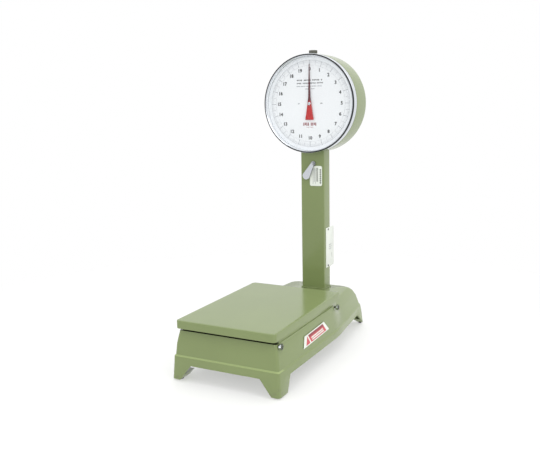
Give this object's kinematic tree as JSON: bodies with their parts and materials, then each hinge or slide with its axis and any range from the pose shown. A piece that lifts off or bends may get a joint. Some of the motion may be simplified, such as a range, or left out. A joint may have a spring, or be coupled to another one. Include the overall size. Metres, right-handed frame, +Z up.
{
  "type": "dial platform scale",
  "caption": "Mechanical dial platform scale: low lever base on four feet, flat load platform, rectangular column and a round dial head with one long pointer.",
  "frame": {"origin": "on the floor under the middle of the scale's bounding box", "axes": "+Z up, +X to the right of a person who reads the dial, +Y from the platform back to the column; the dial faces -Y"},
  "size_m": [0.3028, 0.6175, 0.811],
  "materials": {
    "green_enamel": "glossy sage-green stoved enamel",
    "rubber": "moulded black rubber",
    "bright_plating": "bright nickel-chrome plating",
    "iron": "grey painted iron",
    "steel": "zinc-plated and ground steel",
    "white_plate": "white printed plate",
    "dial_white": "satin white dial enamel with black print",
    "badge_red": "red and white printed metal badge",
    "pointer_red": "red lacquer",
    "glass": "clear dial glass",
    "brass": "turned brass",
    "dark_plastic": "dark moulded plastic"
  },
  "bodies": {
    "stand": {"base_casting": "green_enamel", "foot_pad_front_left": "rubber", "foot_pad_rear_left": "rubber", "foot_pad_front_right": "rubber", "foot_pad_rear_right": "rubber", "hanger_bolt_front_left": "bright_plating", "hanger_bolt_rear_left": "bright_plating", "hanger_bolt_front_right": "bright_plating", "hanger_bolt_rear_right": "bright_plating", "fulcrum_bracket_front_left": "iron", "fulcrum_bracket_rear_left": "iron", "fulcrum_bracket_front_right": "iron", "fulcrum_bracket_rear_right": "iron", "side_badge": "badge_red", "column_flange": "green_enamel", "column_tube": "green_enamel", "side_plate": "white_plate", "plate_screw_lower": "steel", "plate_screw_upper": "steel", "instruction_plate": "white_plate", "lock_bush": "steel", "head_drum": "green_enamel", "bezel_ring": "bright_plating", "dial_glass": "glass", "dial_plate": "dial_white", "rear_cover": "green_enamel", "cover_screw_1": "steel", "cover_screw_2": "steel", "cover_screw_3": "steel", "movement_frame": "iron", "spring_left": "steel", "spring_right": "steel", "dashpot_cylinder": "steel"},
    "platform": {"platform_pan": "green_enamel", "platform_frame": "iron", "platform_bearing_front_left": "steel", "platform_bearing_rear_left": "steel", "platform_bearing_front_right": "steel", "platform_bearing_rear_right": "steel"},
    "long_lever": {"long_lever": "iron", "long_fulcrum_knife": "steel", "long_load_knife": "steel"},
    "short_lever": {"short_lever": "iron", "short_fulcrum_knife": "steel", "short_load_knife": "steel", "lever_link": "steel"},
    "pull_rod": {"pull_rod": "steel", "spring_yoke": "iron", "rack": "brass", "dashpot_piston": "iron"},
    "pointer": {"pinion_arbor": "brass", "pointer": "pointer_red", "pointer_cap": "brass"},
    "lock": {"lock_lever": "bright_plating", "lock_shaft": "steel"},
    "zero_adjuster": {"zero_knob": "dark_plastic", "zero_screw": "steel"},
    "spring_carrier": {"spring_carrier": "iron"}
  },
  "joints": [
    {"name": "platform_travel", "type": "slide", "parent": "stand", "child": "platform", "axis": [0, 0, -1], "range_m": [0, 0.00434], "stiffness_N_per_m": 45400, "springref_m": -0.0036},
    {"name": "long_lever_tilt", "type": "hinge", "parent": "stand", "child": "long_lever", "pos_m": [0, -0.268, 0.085], "axis": [-1, 0, 0], "range_deg": [0, 4.2]},
    {"name": "short_lever_tilt", "type": "hinge", "parent": "stand", "child": "short_lever", "pos_m": [0, 0.052, 0.085], "axis": [1, 0, 0], "range_deg": [0, 4.2]},
    {"name": "rod_travel", "type": "slide", "parent": "stand", "child": "pull_rod", "axis": [0, 0, -1], "range_m": [0, 0.0361], "deforming": ["spring_left", "spring_right"]},
    {"name": "pointer_turn", "type": "hinge", "parent": "stand", "child": "pointer", "pos_m": [0, 0.1996, 0.6614], "axis": [0, 1, 0], "range_deg": [0, 361]},
    {"name": "lock_turn", "type": "hinge", "parent": "stand", "child": "lock", "pos_m": [0.0044, 0.21, 0.4905], "axis": [0, -1, 0], "range_deg": [0, 56]},
    {"name": "zero_turn", "type": "hinge", "parent": "stand", "child": "zero_adjuster", "pos_m": [0, 0.23, 0.807], "axis": [0, 0, 1], "range_deg": [-722, 722]},
    {"name": "carrier_lift", "type": "slide", "parent": "stand", "child": "spring_carrier", "axis": [0, 0, 1], "range_m": [-0.002, 0.002]}
  ],
  "couplings": [
    {"joint": "long_lever_tilt", "follows": "platform_travel", "rad_per_m": 16.667},
    {"joint": "short_lever_tilt", "follows": "platform_travel", "rad_per_m": 16.667},
    {"joint": "rod_travel", "follows": "platform_travel", "ratio": 8.3},
    {"joint": "pointer_turn", "follows": "platform_travel", "rad_per_m": 1448.6},
    {"joint": "zero_turn", "follows": "carrier_lift", "rad_per_m": -6283.2}
  ]
}
